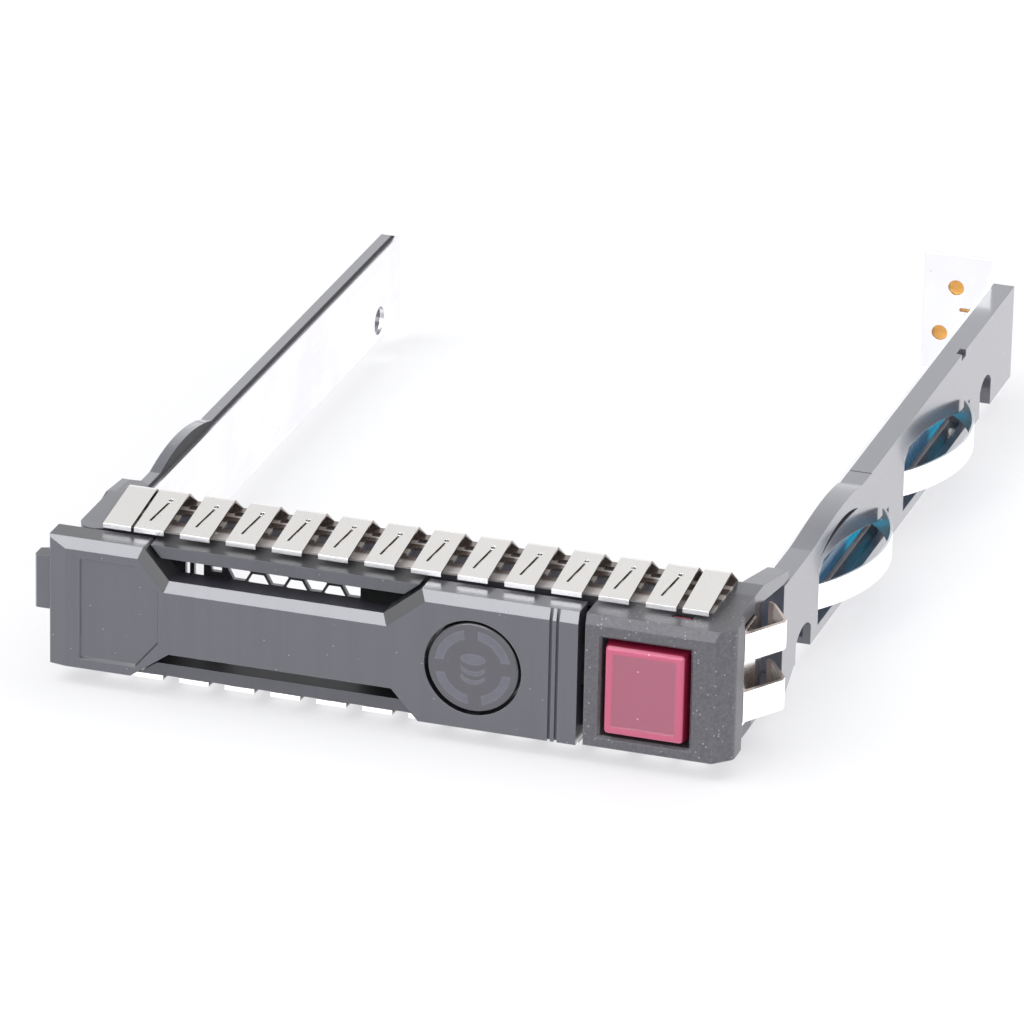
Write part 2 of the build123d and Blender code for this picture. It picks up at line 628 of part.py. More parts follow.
# Slide rails
window_start = leaf_start - 0.4
window_length = leaf_length + 1.5
window = [(window_start + along * window_length, up * rail_top) for along, up in (
    (0, 0.136), (0, 0.644), (0.06, 0.746), (0.286, 0.703), (0.498, 0.602), (0.71, 0.475), (0.837, 0.39),
    (1, 0.39), (1, 0.195), (0.954, 0.136))]
cavity_x = rail_outside - rail_wall
cavity_top = rail_top - 2.5
with BuildPart() as right_rail:
    slab(plate_right + flex_thickness, rail_outside, rail_start, right_length, rail_bottom, rail_top)
    with BuildSketch(side(plate_right + flex_thickness)):
        outline((rail_start, rail_bottom), (rail_start, -1.5), (23.5, -1.5), (27.0, 0.5))
        with BuildLine():
            Spline((31.0, rail_top - 0.05), (38.0, rail_top + 0.4), (46.0, rail_top + beam_rise), (52.5, rail_top - 0.05),
                   tangents=[(1, 0.02), (1, -0.3)])
            Line((31.0, rail_top - 0.05), (52.5, rail_top - 0.05))
        make_face()
    extrude(amount=rail_outside - plate_right - flex_thickness)
    for y0, y1 in ((leaf_start - 3.3, leaf_start + leaf_length + 2.9),
                   (leaf_start + window_pitch - 3.4, leaf_start + window_pitch + leaf_length + 1.7)):
        slab(plate_right + flex_thickness, cavity_x, y0, y1, rail_bottom + 0.8, cavity_top, mode=Mode.SUBTRACT)
    for shift in (0, window_pitch):
        with BuildSketch(side(cavity_x)):
            outline(*[(y + shift, z) for y, z in window])
        extrude(amount=rail_wall, mode=Mode.SUBTRACT)
    with BuildSketch(side(plate_right + flex_thickness)):
        with BuildLine():
            ThreePointArc((36.0, rail_top - 2.2), (43.5, rail_top - 1.7), (51.0, rail_top - 2.2))
            ThreePointArc((51.0, rail_top - 2.2), (43.5, rail_top - 0.9), (36.0, rail_top - 2.2))
        make_face()
        for centre, half, crown in ((arch_front, 2.9, 3.9), (arch_rear, 2.4, 4.8)):
            with BuildLine():
                Polyline((centre - half, rail_bottom), (centre - half, crown - 1.2))
                ThreePointArc((centre - half, crown - 1.2), (centre, crown), (centre + half, crown - 1.2))
                Polyline((centre + half, crown - 1.2), (centre + half, rail_bottom), (centre - half, rail_bottom))
            make_face()
    extrude(amount=rail_right_width, mode=Mode.SUBTRACT)
    with BuildSketch(side(plate_right + flex_thickness)):
        with Locations(*[(y, drive_hole_height) for y in drive_holes]):
            Circle(drive_hole_radius + 0.7)
    extrude(amount=rail_right_width - rail_wall, mode=Mode.SUBTRACT)
    slab(rail_outside - 0.7, rail_outside, right_length - 23.3, right_length - 21.5, rail_top - 0.8, rail_top, mode=Mode.SUBTRACT)
    slab(plate_right, rail_outside, 55.9, 56.15, rail_top - 0.15, rail_top, mode=Mode.SUBTRACT)
    with BuildSketch(side(plate_right + flex_thickness)):
        with Locations(*[(y, rivet_height) for y in rivets_right]):
            Circle(rivet_radius)
    extrude(amount=1.2, mode=Mode.SUBTRACT)
right_rail.part.label = "right_rail"
export_step(right_rail.part, "parts/right_rail.step")

with BuildPart() as left_rail:
    with BuildSketch(side(rail_left_outside)):
        with BuildLine():
            Polyline((28.0, rail_top), (left_rail_start, rail_top), (left_rail_start, rail_bottom),
                     (left_rail_end, rail_bottom), (left_rail_end, rail_top - 1.2), (left_rail_end - 3.0, rail_top),
                     (44.5, rail_top))
            Spline((44.5, rail_top), (37.0, rail_top + beam_rise + 0.5), (28.0, rail_top))
        make_face()
        for y in drive_holes:
            with Locations((y, drive_hole_height)):
                Circle(screw_head, mode=Mode.SUBTRACT)
    extrude(amount=rail_left_width)
    with BuildSketch(side(rail_left_outside)):
        with BuildLine():
            ThreePointArc((30.5, rail_top - 1.9), (36.8, rail_top - 1.4), (43.0, rail_top - 1.9))
            ThreePointArc((43.0, rail_top - 1.9), (36.8, rail_top - 0.6), (30.5, rail_top - 1.9))
        make_face()
    extrude(amount=rail_left_width, mode=Mode.SUBTRACT)
    with BuildSketch(top(rail_bottom)):
        outline((rail_left_outside, left_rail_end - 3.0), (rail_left_outside, left_rail_end), (plate_left, left_rail_end))
    extrude(amount=rail_top, mode=Mode.SUBTRACT)
    with BuildSketch(side(plate_left)):
        with Locations(*[(y, rivet_height) for y in rivets_left]):
            Circle(rivet_radius)
    extrude(amount=-0.7, mode=Mode.SUBTRACT)
left_rail.part.label = "left_rail"
export_step(left_rail.part, "parts/left_rail.step")

with BuildPart() as rail_rivets:
    with BuildSketch(side(bay_right)):
        with Locations(*[(y, rivet_height) for y in rivets_right]):
            Circle(rivet_radius)
    extrude(amount=plate_thickness + 1.0)
    with BuildSketch(side(bay_left)):
        with Locations(*[(y, rivet_height) for y in rivets_left]):
            Circle(rivet_radius)
    extrude(amount=-(plate_thickness + 0.6))
rail_rivets.part.label = "rail_rivets"
export_step(rail_rivets.part, "parts/rail_rivets.step")

# Bowed leaf springs: flat tails inside the rail, bow outside
leaf_seat = plate_right + flex_thickness


def leaf(shift):
    y0 = leaf_start + shift
    y1 = y0 + leaf_length
    middle = (y0 + y1) / 2
    bows = []
    for grow in (0, leaf_thickness):
        bows.append(((y0 + 0.9 - grow * 0.5, rail_outside - 0.75 + grow), (y0 + 6.3, leaf_reach - 1.25 + grow),
                     (middle, leaf_reach + grow), (y1 - 6.3, leaf_reach - 1.25 + grow),
                     (y1 - 1.2 + grow * 0.5, rail_outside - 0.75 + grow)))
    with BuildPart() as made:
        with BuildSketch(top(leaf_bottom)):
            with BuildLine():
                inner = Spline(*[(x, y) for y, x in bows[0]])
                outer = Spline(*[(x, y) for y, x in bows[1]])
                Line(inner @ 0, outer @ 0)
                Line(inner @ 1, outer @ 1)
            make_face()
            outline((leaf_seat, y0 - 2.6), (leaf_seat + leaf_thickness, y0 - 2.6), (leaf_seat + leaf_thickness, y0 - 1.2),
                    (rail_outside - 0.4, y0 + 0.62), (rail_outside - 0.62, y0 + 1.05), (leaf_seat, y0 - 0.9))
            outline((leaf_seat, y1 + 1.6), (leaf_seat + leaf_thickness, y1 + 1.6), (leaf_seat + leaf_thickness, y1 + 0.9),
                    (rail_outside - 0.4, y1 - 0.95), (rail_outside - 0.62, y1 - 1.35), (leaf_seat, y1 + 0.6))
        extrude(amount=leaf_top - leaf_bottom)
        slab(leaf_seat, rail_outside + 1.9, y1 - 2.6, y1 + 3, 4.3, leaf_top, mode=Mode.SUBTRACT)
    return made.part


with BuildPart() as rail_spring_front:
    add(leaf(0))
rail_spring_front.part.label = "rail_spring_front"
export_step(rail_spring_front.part, "parts/rail_spring_front.step")

with BuildPart() as rail_spring_rear:
    add(leaf(window_pitch))
rail_spring_rear.part.label = "rail_spring_rear"
export_step(rail_spring_rear.part, "parts/rail_spring_rear.step")

# Flex circuit: one ribbon behind the front wall, along the right plate and round the flange
flex_z0 = 4.6
flex_z1 = rail_top - 3.1
flex_left = block_left + 0.4
with BuildPart() as flex_circuit:
    with BuildSketch(top(flex_z0)):
        outline((flex_left, frame_back), (plate_right + flex_thickness, frame_back),
                (plate_right + flex_thickness, right_length + flex_thickness), (flange_left + 0.5, right_length + flex_thickness),
                (flange_left + 0.5, right_length), (plate_right, right_length), (plate_right, frame_back + flex_thickness),
                (flex_left, frame_back + flex_thickness))
    extrude(amount=flex_z1 - flex_z0)
    slab(flange_left + 0.5, bay_right - 0.36, right_length, right_length + flex_thickness, plate_bottom + 0.2,
         flange_top - 0.7)
    with BuildSketch(side(plate_right)):
        with Locations(*[(y, drive_hole_height) for y in drive_holes]):
            Circle(drive_hole_radius + 0.4)
    extrude(amount=flex_thickness, mode=Mode.SUBTRACT)
flex_circuit.part.label = "flex_circuit"
export_step(flex_circuit.part, "parts/flex_circuit.step")

board_low = 1.2
board_high = flange_top - 0.9
with BuildPart() as contact_board:
    slab(flange_left + 0.9, bay_right - 0.56, right_length + flex_thickness, right_length + flex_thickness + 0.4,
         board_low, board_high)
contact_board.part.label = "contact_board"
export_step(contact_board.part, "parts/contact_board.step")

with BuildPart() as contact_pads:
    with BuildSketch(front(right_length + flex_thickness + 0.4)):
        with Locations((flange_left + 3.9, (board_low + board_high) / 2)):
            with GridLocations(3.0, (board_high - board_low) / 4.92, 2, 4):
                RectangleRounded(1.8, 1.5, 0.3)
    extrude(amount=-0.1)
contact_pads.part.label = "contact_pads"
export_step(contact_pads.part, "parts/contact_pads.step")
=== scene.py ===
"""Hot swap drive caddy: finishes, small formed details, stage and camera, laid out as an add-on."""
import math

import bpy
from bpy.props import FloatProperty, FloatVectorProperty, IntProperty, PointerProperty
from mathutils import Matrix, Vector


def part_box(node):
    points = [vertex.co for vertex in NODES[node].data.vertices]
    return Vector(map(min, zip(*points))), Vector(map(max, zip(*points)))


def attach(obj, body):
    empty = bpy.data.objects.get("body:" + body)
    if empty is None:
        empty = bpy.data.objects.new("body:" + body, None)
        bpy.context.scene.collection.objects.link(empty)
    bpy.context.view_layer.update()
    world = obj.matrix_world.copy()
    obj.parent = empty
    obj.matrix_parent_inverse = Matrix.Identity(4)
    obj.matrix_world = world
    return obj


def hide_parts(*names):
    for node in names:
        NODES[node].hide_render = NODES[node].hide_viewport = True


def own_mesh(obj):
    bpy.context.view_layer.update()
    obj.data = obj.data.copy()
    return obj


bl_info = {
    "name": "Hot swap drive caddy",
    "version": (1, 0, 0),
    "blender": (4, 5, 0),
    "location": "View3D > Sidebar > Caddy",
    "description": "Dresses a hot swap drive caddy and sets it on a studio stage",
    "category": "Add Mesh",
}

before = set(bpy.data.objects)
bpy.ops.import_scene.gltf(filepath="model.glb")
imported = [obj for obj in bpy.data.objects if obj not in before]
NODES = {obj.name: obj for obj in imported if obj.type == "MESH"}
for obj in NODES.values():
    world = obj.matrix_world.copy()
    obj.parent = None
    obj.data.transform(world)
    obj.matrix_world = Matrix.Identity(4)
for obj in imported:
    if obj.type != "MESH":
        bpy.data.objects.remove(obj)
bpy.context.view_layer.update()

MM = 0.001
# The frame's origin, in millimetres from the front end's left lower corner.
ORIGIN_X = 39.875
ORIGIN_Y = 59.07
ORIGIN_Z = -2.17
# Places in the same millimetres.
BUTTON_X = 68.35
BUTTON_Z = 6.95
RIB_PLACE = (71.4, 2.95, 13.4)
FILM_PLACE = (74.53, 63.0, 3.25)
COIL_FIXED_END = 13.0
STRIPS_MIDDLE_Z = 7.55
LOOKED_AT = (53.190, 0.0, 25.564)


def at(x, y, z):
    """A place in millimetres from the front end's left lower corner, in the part's frame."""
    return Vector(((x - ORIGIN_X) * MM, (y - ORIGIN_Y) * MM, (z - ORIGIN_Z) * MM))


class Field:
    """A node socket that takes part in arithmetic; each operation adds one Math node."""

    def __init__(self, tree, socket):
        self.tree = tree
        self.socket = socket

    def math(self, operation, *values):
        node = self.tree.nodes.new("ShaderNodeMath")
        node.operation = operation
        for slot, value in zip(node.inputs, values):
            feed(self.tree, slot, value)
        return Field(self.tree, node.outputs[0])

    def __add__(self, other):
        return self.math("ADD", self, other)

    __radd__ = __add__

    def __sub__(self, other):
        return self.math("SUBTRACT", self, other)

    def __rsub__(self, other):
        return self.math("SUBTRACT", other, self)

    def __mul__(self, other):
        return self.math("MULTIPLY", self, other)

    __rmul__ = __mul__

    def __truediv__(self, other):
        return self.math("DIVIDE", self, other)

    def size(self):
        return self.math("ABSOLUTE", self)

    def under(self, level):
        return self.math("LESS_THAN", self, level)

    def highest(self, other):
        return self.math("MAXIMUM", self, other)

    def repeating(self, pitch):
        return self.math("MODULO", self, pitch)


def feed(tree, slot, value):
    """Links or sets one input of a node."""
    if isinstance(value, Field):
        tree.links.new(value.socket, slot)
    elif isinstance(value, bpy.types.NodeSocket):
        tree.links.new(value, slot)
    elif hasattr(slot.default_value, "__len__") and len(slot.default_value) == 4 and len(value) == 3:
        slot.default_value = (*value, 1.0)
    else:
        slot.default_value = value


class Nodes:
    """A node tree that is filled through one method."""

    def __init__(self, tree):
        self.tree = tree

    def node(self, kind, settings=None, inputs=None, out=0):
        node = self.tree.nodes.new(kind)
        for key, value in (settings or {}).items():
            setattr(node, key, value)
        for key, value in (inputs or {}).items():
            feed(self.tree, node.inputs[key], value)
        return Field(self.tree, node.outputs[out])

    def band(self, value, low, high):
        """A smooth step from 0 at low to 1 at high."""
        return self.node("ShaderNodeMapRange", {"interpolation_type": "SMOOTHSTEP", "clamp": True},
                         {"Value": value, "From Min": low, "From Max": high})

    def part(self, vector, letter):
        """One component of a vector."""
        return self.node("ShaderNodeSeparateXYZ", None, {0: vector}, letter)


class Finish(Nodes):
    """One material, built node by node."""

    def __init__(self, name, **constants):
        self.material = bpy.data.materials.new(name)
        self.material.use_nodes = True
        super().__init__(self.material.node_tree)
        self.shader = self.tree.nodes["Principled BSDF"]
        self.place = self.node("ShaderNodeTexCoord", out="Object")
        for socket, value in constants.items():
            feed(self.tree, self.shader.inputs[socket.replace("_", " ")], value)

    def stretched(self, stretch):
        """The object's own coordinates, scaled along each axis."""
        return self.node("ShaderNodeMapping", {"vector_type": "POINT"},
                         {"Vector": self.place, "Scale": stretch})

    def noise(self, scale, detail=2.0, rough=0.5, stretch=(1, 1, 1)):
        inputs = {"Vector": self.stretched(stretch), "Scale": scale, "Detail": detail, "Roughness": rough}
        return self.node("ShaderNodeTexNoise", {"noise_dimensions": "3D"}, inputs)

    def cells(self, scale, out="Distance"):
        return self.node("ShaderNodeTexVoronoi", {"feature": "F1"},
                         {"Vector": self.stretched((1, 1, 1)), "Scale": scale}, out)

    def axis(self, letter):
        """The place along one axis, in metres from the frame's origin."""
        return self.part(self.place, letter)

    def across(self):
        """Millimetres to the right of the front's left end."""
        return self.axis("X") / MM + ORIGIN_X

    def along(self):
        """Millimetres behind the front."""
        return self.axis("Y") / MM + ORIGIN_Y

    def height(self):
        """Millimetres above the front's lower edge."""
        return self.axis("Z") / MM + ORIGIN_Z

    def facing(self, letter):
        """One component of the surface's normal."""
        return self.part(self.node("ShaderNodeNewGeometry", None, None, "Normal"), letter)

    def mix(self, factor, first, second):
        return self.node("ShaderNodeMix", {"data_type": "RGBA"}, {0: factor, 6: first, 7: second}, 2)

    def edges(self, radius):
        """How far a point lies on an edge, from 0 on flats to about 1."""
        soft = self.node("ShaderNodeBevel", {"samples": 4}, {"Radius": radius * MM}, "Normal")
        flat = self.node("ShaderNodeNewGeometry", None, None, "Normal")
        facing = self.node("ShaderNodeVectorMath", {"operation": "DOT_PRODUCT"}, {0: soft, 1: flat}, "Value")
        return self.band(1 - facing, 0.02, 0.22)

    def bump(self, height, strength, distance, radius=0.0):
        inputs = {"Height": height, "Strength": strength, "Distance": distance * MM}
        if radius:
            inputs["Normal"] = self.node("ShaderNodeBevel", {"samples": 4}, {"Radius": radius * MM}, "Normal")
        return self.node("ShaderNodeBump", None, inputs, "Normal")

    def dust(self, scale, size, share):
        """Small specks: a share of the cells carries one of the given size."""
        picked = self.node("ShaderNodeSeparateColor", None, {0: self.cells(scale, "Color")}, 0).under(share)
        return picked * (1 - self.band(self.cells(scale), size * 0.6, size))

    def set(self, socket, value):
        feed(self.tree, self.shader.inputs[socket], value)
        return self


def shaded(colour, factor):
    """The colour made darker or paler by a factor."""
    return tuple(c * factor for c in colour)


def wear(material, *nodes):
    """Gives the named CAD nodes one finish."""
    for node in nodes:
        NODES[node].material_slots[0].material = material


def only(piece):
    """Leaves just this piece selected and active."""
    bpy.ops.object.select_all(action="DESELECT")
    piece.select_set(True)
    bpy.context.view_layer.objects.active = piece


def settle():
    """Moves the selected piece's place, turn and size into its mesh."""
    bpy.ops.object.transform_apply(location=True, rotation=True, scale=True)


def block(name, centre, size):
    """A box with its mesh in place, selected and active."""
    bpy.ops.object.select_all(action="DESELECT")
    bpy.ops.mesh.primitive_cube_add(size=1, location=at(*centre))
    piece = bpy.context.active_object
    piece.name = name
    piece.scale = size
    settle()
    return piece


def pick_faces(piece, wanted):
    """Enters edit mode with the faces picked by their normal."""
    only(piece)
    bpy.ops.object.mode_set(mode="EDIT")
    bpy.ops.mesh.select_mode(type="FACE")
    bpy.ops.mesh.select_all(action="DESELECT")
    bpy.ops.object.mode_set(mode="OBJECT")
    for polygon in piece.data.polygons:
        polygon.select = wanted(polygon.normal)
    bpy.ops.object.mode_set(mode="EDIT")


def soften(piece, width, segments):
    """Rounds the piece's edges by a width in millimetres."""
    bevel = piece.modifiers.new("edges", "BEVEL")
    bevel.width, bevel.segments, bevel.limit_method = width * MM, segments, "ANGLE"
    only(piece)
    bpy.ops.object.modifier_apply(modifier=bevel.name)


def finish_piece(piece, material, body):
    """Smooths a piece, gives it its material and lets it ride on a body."""
    only(piece)
    bpy.ops.object.shade_smooth_by_angle(angle=math.radians(32))
    piece.data.materials.append(material)
    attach(piece, body)


def button_cap(details):
    """The cap that the button shows in its window: a box with sloping sides and a sunk face."""
    cap = block("button_cap", (BUTTON_X, 1.0, BUTTON_Z), (details.cap_width, details.cap_depth, details.cap_height))
    pick_faces(cap, lambda normal: normal.y < -0.9)
    bpy.ops.transform.resize(value=(1 - 2 * details.cap_slope / details.cap_width, 1,
                                    1 - 2 * details.cap_slope / details.cap_height))
    bpy.ops.object.mode_set(mode="OBJECT")
    soften(cap, 0.42, 4)
    pick_faces(cap, lambda normal: normal.y < -0.99)
    bpy.ops.mesh.inset(thickness=0.42 * MM)
    bpy.ops.mesh.inset(thickness=0.10 * MM)
    bpy.ops.transform.translate(value=(0, 0.07 * MM, 0))
    bpy.ops.object.mode_set(mode="OBJECT")
    return cap


def button_coil(details):
    """The button's spring: a round wire turned by Screw, where the CAD's spring is."""
    low, high = (Vector(corner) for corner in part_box("button_spring"))
    wire = details.coil_wire
    bpy.ops.object.select_all(action="DESELECT")
    bpy.ops.mesh.primitive_circle_add(vertices=10, radius=wire, rotation=(math.radians(90), 0, 0),
                                      location=((high.x - low.x) / 2 - wire, 0, 0))
    coil = bpy.context.active_object
    coil.name = "button_coil"
    settle()
    turns = coil.modifiers.new("turns", "SCREW")
    turns.iterations = details.coil_turns
    turns.steps = turns.render_steps = 20
    turns.screw_offset = (high.y - low.y - 2 * wire) / details.coil_turns
    bpy.ops.object.modifier_apply(modifier=turns.name)
    bpy.ops.object.mode_set(mode="EDIT")
    bpy.ops.mesh.select_all(action="SELECT")
    bpy.ops.mesh.remove_doubles(threshold=0.001 * MM)
    bpy.ops.mesh.fill_holes(sides=0)
    bpy.ops.mesh.normals_make_consistent(inside=False)
    bpy.ops.object.mode_set(mode="OBJECT")
    coil.rotation_euler = (math.radians(-90), 0, 0)
    coil.location = ((low.x + high.x) / 2, low.y + wire, (low.z + high.z) / 2)
    settle()
    return coil


def flex_film(details):
    """The flex circuit's strip behind the right rail's windows, a little lower at its ends."""
    film = block("flex_film", FILM_PLACE, (details.film_thickness, details.film_length, details.film_height))
    pick_faces(film, lambda normal: abs(normal.y) > 0.9)
    bpy.ops.transform.resize(value=(1, 1, 0.85))
    bpy.ops.object.mode_set(mode="OBJECT")
    soften(film, 0.04, 2)
    return film


class CaddyLooks(bpy.types.PropertyGroup):
    """Colours a user may change."""

    lever: FloatVectorProperty(name="Lever", description="Glossy dark plastic of the lever", size=3,
                               default=(0.076, 0.076, 0.098), subtype="COLOR", min=0, max=1)
    block: FloatVectorProperty(name="Front block", description="Textured plastic of the front block", size=3,
                               default=(0.078, 0.077, 0.087), subtype="COLOR", min=0, max=1)
    button: FloatVectorProperty(name="Button", description="Release button plastic", size=3,
                                default=(0.39, 0.105, 0.172), subtype="COLOR", min=0, max=1)
    rail: FloatVectorProperty(name="Rails", description="Grey plastic of the slide rails", size=3,
                              default=(0.125, 0.125, 0.150), subtype="COLOR", min=0, max=1)
    steel: FloatVectorProperty(name="Finger steel", description="Spring fingers and bowed springs", size=3,
                               default=(0.70, 0.68, 0.66), subtype="COLOR", min=0, max=1)
    plate: FloatVectorProperty(name="Plates", description="Stainless side plates", size=3,
                               default=(0.70, 0.70, 0.72), subtype="COLOR", min=0, max=1)
    film: FloatVectorProperty(name="Flex film", description="Amber film of the flex circuit", size=3,
                              default=(0.80, 0.38, 0.06), subtype="COLOR", min=0, max=1)
    track: FloatVectorProperty(name="Flex tracks", description="Blue tracks of the flex circuit", size=3,
                               default=(0.025, 0.095, 0.18), subtype="COLOR", min=0, max=1)


class CaddyDetails(bpy.types.PropertyGroup):
    """Sizes of the small pieces that are formed in the scene."""

    cap_width: FloatProperty(name="Cap width", description="Button cap, from side to side",
                             default=0.00956, unit="LENGTH")
    cap_height: FloatProperty(name="Cap height", description="Button cap, from bottom to top",
                              default=0.01096, unit="LENGTH")
    cap_depth: FloatProperty(name="Cap depth", description="Button cap, from face to back",
                             default=0.0029, unit="LENGTH")
    cap_slope: FloatProperty(name="Cap slope", description="How far each side of the cap leans in",
                             default=0.00044, unit="LENGTH")
    rib: FloatVectorProperty(name="Button rib", description="Width, depth and height of the button's rib",
                             size=3, default=(0.0019, 0.0006, 0.0032), subtype="XYZ_LENGTH")
    coil_turns: IntProperty(name="Spring turns", description="Turns of the button's spring", default=7, min=1)
    coil_wire: FloatProperty(name="Spring wire", description="Radius of the button spring's wire",
                             default=0.0002, unit="LENGTH")
    film_thickness: FloatProperty(name="Film thickness", description="Flex strip behind the windows",
                                  default=0.00011, unit="LENGTH")
    film_length: FloatProperty(name="Film length", description="Flex strip, from front to rear",
                               default=0.069, unit="LENGTH")
    film_height: FloatProperty(name="Film height", description="Flex strip, from bottom to top",
                               default=0.0027, unit="LENGTH")


class CaddyStage(bpy.types.PropertyGroup):
    """Sizes of the stage and the camera."""

    floor: FloatProperty(name="Floor", description="Side of the floor", default=6.0, unit="LENGTH")
    azimuth: FloatProperty(name="Azimuth", description="Camera's turn from straight ahead",
                           default=math.radians(17.659), subtype="ANGLE")
    elevation: FloatProperty(name="Elevation", description="Camera's height angle",
                             default=math.radians(22.734), subtype="ANGLE")
    roll: FloatProperty(name="Roll", description="Camera's roll",
                        default=math.radians(1.218), subtype="ANGLE")
    distance: FloatProperty(name="Distance", description="Camera to the point it looks at",
                            default=0.891719, unit="LENGTH")
    lens: FloatProperty(name="Lens", description="Focal length in millimetres", default=297.39)
    soft_box: FloatProperty(name="Soft box", description="Mirrored brightness of the wide light in front",
                            default=6.0, min=0)


def lever_painted_shade(finish):
    """Where the lever gets painted shade: its slanting bevels, and a part of its upper side, most of it on the head.
    """
    rising = finish.facing("Z")
    slant = finish.band(finish.facing("X").size(), 0.08, 0.16) * finish.band(rising, 0.05, 0.12)
    head = 1 - finish.band(finish.across(), 9.0, 11.0)
    return slant.highest(finish.band(rising, 0.7, 0.9) * (head * 0.3 + 0.5))


def frame_painted_shade(finish):
    """Where the frame gets painted shade: the shelf of the front frame between its two ends, and a part of the right
    wing's upper side.
    """
    across = finish.across()
    shelf = finish.band(across, 11.0, 12.5) * (1 - finish.band(across, 60.0, 61.0))
    wing = finish.band(across, 71.0, 72.5) * 0.35
    near = 1 - finish.band(finish.along(), 6.0, 7.0)
    return finish.band(finish.facing("Z"), 0.7, 0.9) * (shelf * near + wing)


def dark_gloss(name, colour, roughness, dusty=0.35, index=1.6, coat=0.6, shade=lever_painted_shade):
    """Moulded dark plastic with fine vertical flow lines and dust, a painted highlight along its edges, and painted
    shade where shade says.
    """
    finish = Finish(name, IOR=index, Coat_Roughness=0.04)
    flow = finish.noise(420, 4, 0.6, (1, 1, 0.06))
    cloud = finish.noise(70, 3, 0.55)
    specks = finish.dust(430, 0.05, dusty * 0.2) + finish.dust(1400, 0.12, dusty * 0.25)
    edge_highlight = finish.edges(0.18)
    pale = tuple(min(1, c * 1.8 + 0.04) for c in colour)
    body = finish.mix(finish.band(flow, 0.35, 0.7) * 0.5, colour, shaded(colour, 0.82))
    # Painted highlight along the edges.
    body = finish.mix(edge_highlight * 0.55, body, pale)
    body = finish.mix(specks * 0.35, body, (0.62, 0.60, 0.58))
    # Painted shade: the base colour goes near black where the shade mask says.
    dark = shade(finish)
    finish.set("Base Color", finish.mix(dark, body, shaded(colour, 0.12)))
    finish.set("Roughness", roughness + cloud * 0.08 + specks * 0.3 + dark * 0.25)
    finish.set("Coat Weight", coat * (1 - specks * 0.5) * (1 - dark))
    finish.set("Normal", finish.bump(flow, 0.16, 0.03, 0.12))
    return finish.material


def satin(name, colour, roughness):
    """Plain moulded plastic with a fine grain, dust specks and a painted highlight along its edges."""
    finish = Finish(name, IOR=1.5)
    fine = finish.noise(1400, 3, 0.6)
    specks = finish.dust(800, 0.12, 0.10)
    edge_highlight = finish.edges(0.2)
    body = finish.mix(finish.band(fine, 0.3, 0.8) * 0.4, colour, shaded(colour, 1.35))
    # Painted highlight along the edges.
    body = finish.mix(edge_highlight * 0.4, body, tuple(min(1, c * 2 + 0.05) for c in colour))
    finish.set("Base Color", finish.mix(specks * 0.4, body, (0.5, 0.49, 0.47)))
    finish.set("Roughness", roughness + fine * 0.14)
    finish.set("Normal", finish.bump(fine, 0.18, 0.03, 0.12))
    return finish.material


class CADDY_OT_lever(bpy.types.Operator):
    """Finishes the lever and the marks of its status disc"""

    bl_idname = "caddy.lever"
    bl_label = "Lever"

    def execute(self, context):
        looks = context.scene.caddy_looks
        wear(dark_gloss("lever gloss", tuple(looks.lever), 0.17), "lever")
        wear(dark_gloss("disc gloss", tuple(c * 0.62 for c in looks.lever), 0.20, 0.5), "status_disc")
        wear(satin("disc marks", (0.125, 0.125, 0.155), 0.32), "status_arcs", "status_symbol")
        return {"FINISHED"}


class CADDY_OT_front_block(bpy.types.Operator):
    """Finishes the textured front block, the frame and the latch behind it"""

    bl_idname = "caddy.front_block"
    bl_label = "Front block and frame"

    def execute(self, context):
        looks = context.scene.caddy_looks
        colour = tuple(looks.block)
        finish = Finish("spark texture", IOR=1.5)
        grain = finish.noise(2300, 4, 0.7)
        pits = finish.cells(3100)
        glint = finish.dust(2600, 0.30, 0.16)
        edge_highlight = finish.edges(0.22)
        body = finish.mix(finish.band(grain, 0.35, 0.7), colour, tuple(c * 1.5 for c in colour))
        # Painted highlight along the edges.
        body = finish.mix(edge_highlight * 0.45, body, (0.34, 0.34, 0.37))
        # Painted shade on the faces that look up.
        body = finish.mix(finish.band(finish.facing("Z"), 0.75, 0.95) * 0.5, body, tuple(c * 0.4 for c in colour))
        finish.set("Base Color", finish.mix(glint * 0.4, body, (0.62, 0.62, 0.66)))
        finish.set("Roughness", 0.34 + grain * 0.2)
        finish.set("Normal", finish.bump(grain + pits * 0.6, 0.5, 0.05, 0.15))
        wear(finish.material, "button_bezel")
        wear(dark_gloss("frame plastic", (0.115, 0.115, 0.135), 0.14, 0.2, 1.4, 0.1, frame_painted_shade),
             "front_frame", "vent_grille")
        wear(satin("latch plastic", (0.06, 0.06, 0.065), 0.4), "latch_slider")
        return {"FINISHED"}


